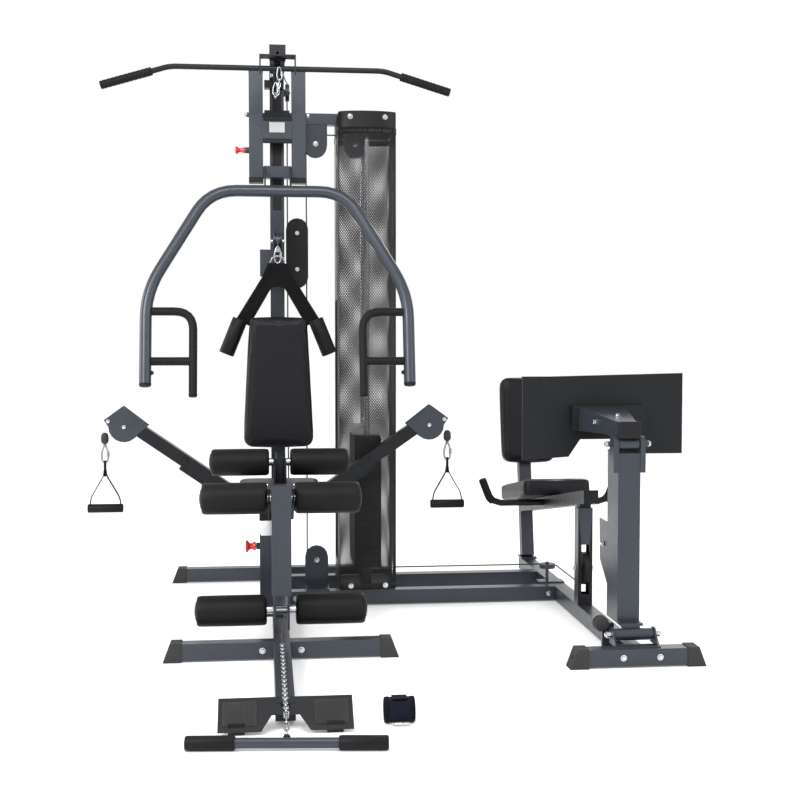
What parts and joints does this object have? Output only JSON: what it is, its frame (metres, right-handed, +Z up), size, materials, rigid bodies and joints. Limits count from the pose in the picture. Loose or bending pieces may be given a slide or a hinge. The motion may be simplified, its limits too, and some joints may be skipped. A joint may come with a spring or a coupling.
{
  "type": "multi station home gym",
  "caption": "Home gym with a press, pulldown and leg station, a shrouded weight tower and a separate leg press joined on by two floor beams.",
  "frame": {"origin": "middle of the footprint's bounding box, on the floor", "axes": "+Z up, -Y towards the user and the front of the machine, +X towards the leg press station"},
  "size_m": [1.9606, 2.3774, 1.937],
  "materials": {
    "frame_paint": "satin slate grey powder coat",
    "black_plastic": "moulded black plastic",
    "cable": "black coated steel cable",
    "shroud_mesh": "perforated steel sheet",
    "chrome": "bright plated",
    "weight_plate": "black painted cast iron",
    "red_plastic": "glossy red knob",
    "foam": "matt foam rubber",
    "vinyl": "grained vinyl",
    "webbing": "woven nylon"
  },
  "bodies": {
    "frame": {"front_cross_tube": "frame_paint", "rear_cross_tube": "frame_paint", "main_base_beam": "frame_paint", "foot_plate_beam": "frame_paint", "front_link_beam": "frame_paint", "rear_link_beam": "frame_paint", "floor_foot_plate": "frame_paint", "main_column": "frame_paint", "top_boom": "frame_paint", "top_cross_beam": "frame_paint", "shroud_front": "shroud_mesh", "shroud_rear": "shroud_mesh", "tower_top_cap": "black_plastic", "tower_base": "frame_paint", "guide_rod_front": "chrome", "guide_rod_rear": "chrome", "weight_plates_resting": "weight_plate", "upper_cable": "cable", "lower_cable": "cable", "backrest_pad": "vinyl", "seat_post": "frame_paint", "cable_arm_hub": "frame_paint", "leg_press_cross_tube": "frame_paint", "leg_press_base_beam": "frame_paint", "leg_press_mid_post": "frame_paint", "leg_press_seat_frame": "frame_paint", "leg_press_seat_pad": "vinyl", "leg_press_backrest": "vinyl", "leg_press_axle": "chrome"},
    "lifted_stack": {"weight_plates_selected": "weight_plate", "selector_rod": "chrome", "stack_cable": "cable"},
    "selector_pin": {"selector_pin": "red_plastic"},
    "tower_pulley_left": {"tower_pulley_left": "black_plastic"},
    "tower_pulley_right": {"tower_pulley_right": "black_plastic"},
    "lat_pulley": {"lat_pulley": "black_plastic"},
    "base_pulley": {"base_pulley": "black_plastic"},
    "pulley_block": {"pulley_block": "black_plastic"},
    "lat_bar": {"lat_bar": "chrome"},
    "press_arm": {"press_carriage": "frame_paint", "press_arm": "frame_paint", "press_handle_left": "foam", "press_handle_right": "foam"},
    "press_pin": {"press_pin": "red_plastic"},
    "seat": {"seat_frame": "frame_paint", "seat_pad": "vinyl"},
    "seat_pin": {"seat_pin": "red_plastic"},
    "thigh_rollers": {"thigh_rollers": "foam"},
    "knee_rollers": {"knee_rollers": "foam"},
    "leg_developer": {"leg_developer_arm": "frame_paint"},
    "ankle_rollers": {"ankle_rollers": "foam"},
    "cable_arm_left": {"cable_arm_left": "frame_paint"},
    "cable_arm_right": {"cable_arm_right": "frame_paint"},
    "stirrup_left": {"stirrup_left": "foam"},
    "stirrup_right": {"stirrup_right": "foam"},
    "crunch_harness": {"crunch_harness": "webbing"},
    "low_row_bar": {"low_row_bar": "chrome"},
    "ankle_strap": {"ankle_strap": "webbing"},
    "leg_press_arm": {"leg_press_arm": "frame_paint"},
    "leg_press_foot_plate": {"leg_press_foot_plate": "frame_paint"}
  },
  "joints": [
    {"name": "stack_lift", "type": "slide", "parent": "frame", "child": "lifted_stack", "axis": [0, 0, 1], "range_m": [0, 0.6], "deforming": ["stack_cable"]},
    {"name": "selector_pin_pull", "type": "slide", "parent": "lifted_stack", "child": "selector_pin", "axis": [-1, 0, 0], "range_m": [0, 0.06]},
    {"name": "tower_pulley_left_spin", "type": "hinge", "parent": "frame", "child": "tower_pulley_left", "pos_m": [-0.18233, 0.55334, 1.667], "axis": [0, 1, 0], "range_deg": [-1030, 10]},
    {"name": "tower_pulley_right_spin", "type": "hinge", "parent": "frame", "child": "tower_pulley_right", "pos_m": [-0.03733, 0.55334, 1.667], "axis": [0, 1, 0], "range_deg": [-1030, 10]},
    {"name": "lat_pulley_spin", "type": "hinge", "parent": "frame", "child": "lat_pulley", "pos_m": [-0.32233, 0.22934, 1.844], "axis": [1, 0, 0], "range_deg": [-10, 1030]},
    {"name": "base_pulley_spin", "type": "hinge", "parent": "frame", "child": "base_pulley", "pos_m": [-0.18233, 0.55334, 0.15], "axis": [0, 1, 0], "range_deg": [-260, 10]},
    {"name": "pulley_block_travel", "type": "slide", "parent": "frame", "child": "pulley_block", "axis": [0, 0, 1], "range_m": [-0.25, 0], "deforming": ["lower_cable", "upper_cable"]},
    {"name": "lat_bar_pull", "type": "slide", "parent": "frame", "child": "lat_bar", "axis": [0, 0, -1], "range_m": [0, 0.6]},
    {"name": "press_swing", "type": "hinge", "parent": "frame", "child": "press_arm", "pos_m": [-0.32233, 0.43234, 1.748], "axis": [1, 0, 0], "range_deg": [-45, 0]},
    {"name": "press_pin_pull", "type": "slide", "parent": "press_arm", "child": "press_pin", "axis": [-1, 0, 0], "range_m": [0, 0.012], "stiffness_N_per_m": 600},
    {"name": "seat_height", "type": "slide", "parent": "frame", "child": "seat", "axis": [0, 0, 1], "range_m": [0, 0.1]},
    {"name": "seat_pin_pull", "type": "slide", "parent": "frame", "child": "seat_pin", "axis": [-1, 0, 0], "range_m": [0, 0.012], "stiffness_N_per_m": 600},
    {"name": "thigh_roller_spin", "type": "hinge", "parent": "seat", "child": "thigh_rollers", "pos_m": [-0.32233, 0.06334, 0.558], "axis": [1, 0, 0], "continuous": true},
    {"name": "knee_roller_spin", "type": "hinge", "parent": "seat", "child": "knee_rollers", "pos_m": [-0.32233, -0.25366, 0.479], "axis": [1, 0, 0], "continuous": true},
    {"name": "leg_developer_swing", "type": "hinge", "parent": "seat", "child": "leg_developer", "pos_m": [-0.32233, -0.25366, 0.479], "axis": [1, 0, 0], "range_deg": [-90, 0]},
    {"name": "ankle_roller_spin", "type": "hinge", "parent": "leg_developer", "child": "ankle_rollers", "pos_m": [-0.32233, -0.23066, 0.134], "axis": [1, 0, 0], "continuous": true},
    {"name": "cable_arm_left_tilt", "type": "hinge", "parent": "frame", "child": "cable_arm_left", "pos_m": [-0.44233, 0.36334, 0.396], "axis": [0, 1, 0], "range_deg": [-25, 25]},
    {"name": "cable_arm_right_tilt", "type": "hinge", "parent": "frame", "child": "cable_arm_right", "pos_m": [-0.20233, 0.36334, 0.396], "axis": [0, 1, 0], "range_deg": [-25, 25]},
    {"name": "stirrup_left_hang", "type": "hinge", "parent": "cable_arm_left", "child": "stirrup_left", "pos_m": [-0.92033, 0.36334, 0.64], "axis": [0, 1, 0], "range_deg": [-26, 26]},
    {"name": "stirrup_right_hang", "type": "hinge", "parent": "cable_arm_right", "child": "stirrup_right", "pos_m": [0.27567, 0.36334, 0.64], "axis": [0, 1, 0], "range_deg": [-26, 26]},
    {"name": "crunch_harness_pull", "type": "slide", "parent": "frame", "child": "crunch_harness", "axis": [0, 0, -1], "range_m": [0, 0.2], "stiffness_N_per_m": 80, "springref_m": -0.4},
    {"name": "low_row_pull", "type": "slide", "parent": "frame", "child": "low_row_bar", "axis": [0, -1, 0], "range_m": [0, 0.5]},
    {"name": "ankle_strap_lift", "type": "slide", "parent": "frame", "child": "ankle_strap", "axis": [0, 0, 1], "range_m": [0, 0.2]},
    {"name": "leg_press_swing", "type": "hinge", "parent": "frame", "child": "leg_press_arm", "pos_m": [0.71067, -0.44666, 0.082], "axis": [1, 0, 0], "range_deg": [0, 35]},
    {"name": "leg_press_foot_tilt", "type": "hinge", "parent": "leg_press_arm", "child": "leg_press_foot_plate", "pos_m": [0.71067, -0.38866, 0.645], "axis": [1, 0, 0], "range_deg": [-15, 15]}
  ],
  "couplings": [
    {"joint": "lat_bar_pull", "follows": "stack_lift", "ratio": 1},
    {"joint": "tower_pulley_left_spin", "follows": "stack_lift", "rad_per_m": -29.412},
    {"joint": "tower_pulley_right_spin", "follows": "stack_lift", "rad_per_m": -29.412},
    {"joint": "lat_pulley_spin", "follows": "stack_lift", "rad_per_m": 29.412},
    {"joint": "low_row_pull", "follows": "pulley_block_travel", "ratio": -2},
    {"joint": "base_pulley_spin", "follows": "leg_press_swing", "ratio": -6.941},
    {"joint": "stirrup_left_hang", "follows": "cable_arm_left_tilt", "ratio": -1},
    {"joint": "stirrup_right_hang", "follows": "cable_arm_right_tilt", "ratio": -1}
  ]
}
